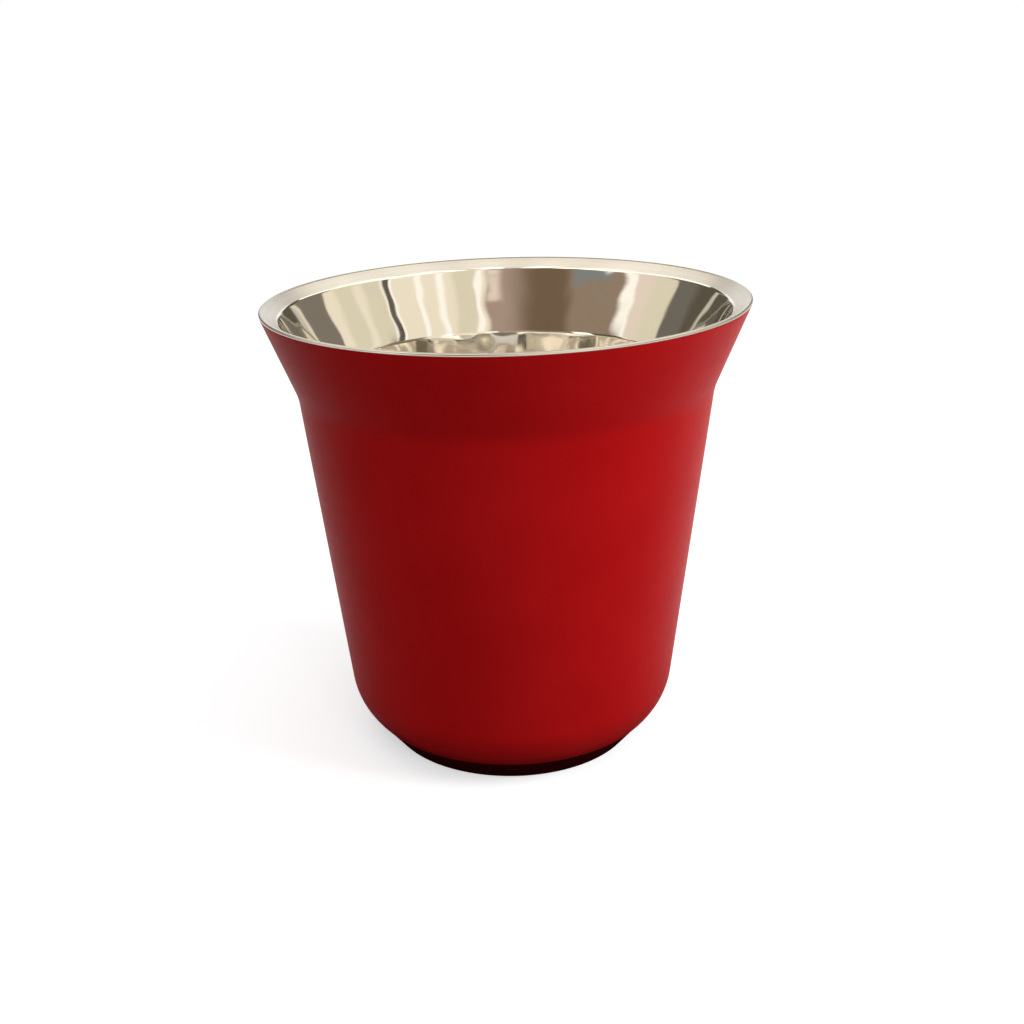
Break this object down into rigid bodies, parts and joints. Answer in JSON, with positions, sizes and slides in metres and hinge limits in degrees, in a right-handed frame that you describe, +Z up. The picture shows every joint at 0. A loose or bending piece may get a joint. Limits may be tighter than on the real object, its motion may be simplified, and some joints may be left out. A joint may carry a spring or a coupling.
{
  "type": "espresso cup",
  "caption": "Double-walled steel espresso cup with a flared mouth, red lacquered outside, polished inside, on a dark foot ring.",
  "frame": {"origin": "on the table, under the middle of the cup", "axes": "+Z up along the cup's axis; the cup is round, so X and Y are alike"},
  "size_m": [0.07, 0.07, 0.068],
  "materials": {
    "red_lacquer": "satin red lacquer on drawn steel",
    "polished_steel": "mirror-polished stainless steel",
    "plain_steel": "plain pressed stainless steel",
    "dark_rubber": "matt, very dark maroon"
  },
  "bodies": {
    "root": {"outer_shell": "red_lacquer", "inner_cup": "polished_steel", "base_plate": "plain_steel", "foot_ring": "dark_rubber"}
  },
  "joints": []
}
